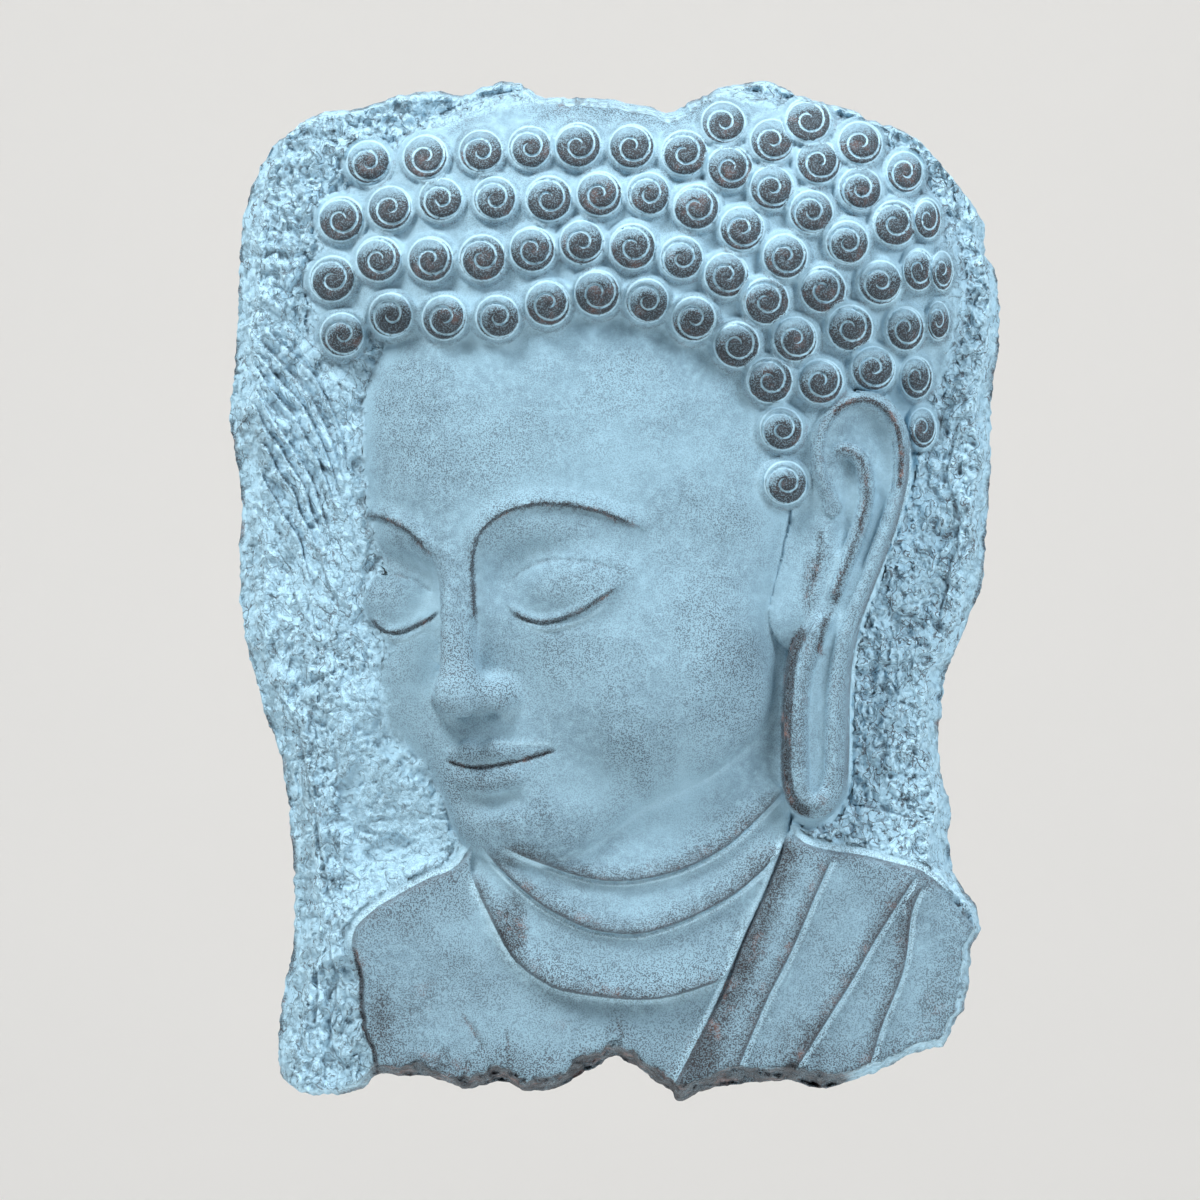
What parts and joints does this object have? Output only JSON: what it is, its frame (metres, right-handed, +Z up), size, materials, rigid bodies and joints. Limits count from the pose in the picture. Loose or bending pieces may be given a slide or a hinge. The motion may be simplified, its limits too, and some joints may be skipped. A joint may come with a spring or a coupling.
{
  "type": "buddha head wall plaque",
  "caption": "Cast stone-effect wall plaque with a broken rim, carved in relief with a buddha head, snail curls, a long ear and a pleated robe, hung from a pocket in its flat back.",
  "frame": {"origin": "on the flat back, just above the hanging pocket, where the plaque bears against the wall", "axes": "+Z up the wall, +Y out of the flat back into the wall, so the carved front faces -Y"},
  "size_m": [0.2949, 0.063, 0.3901],
  "materials": {
    "cast_stone": "matte"
  },
  "bodies": {
    "root": {"buddha_head_plaque": "cast_stone"}
  },
  "joints": []
}
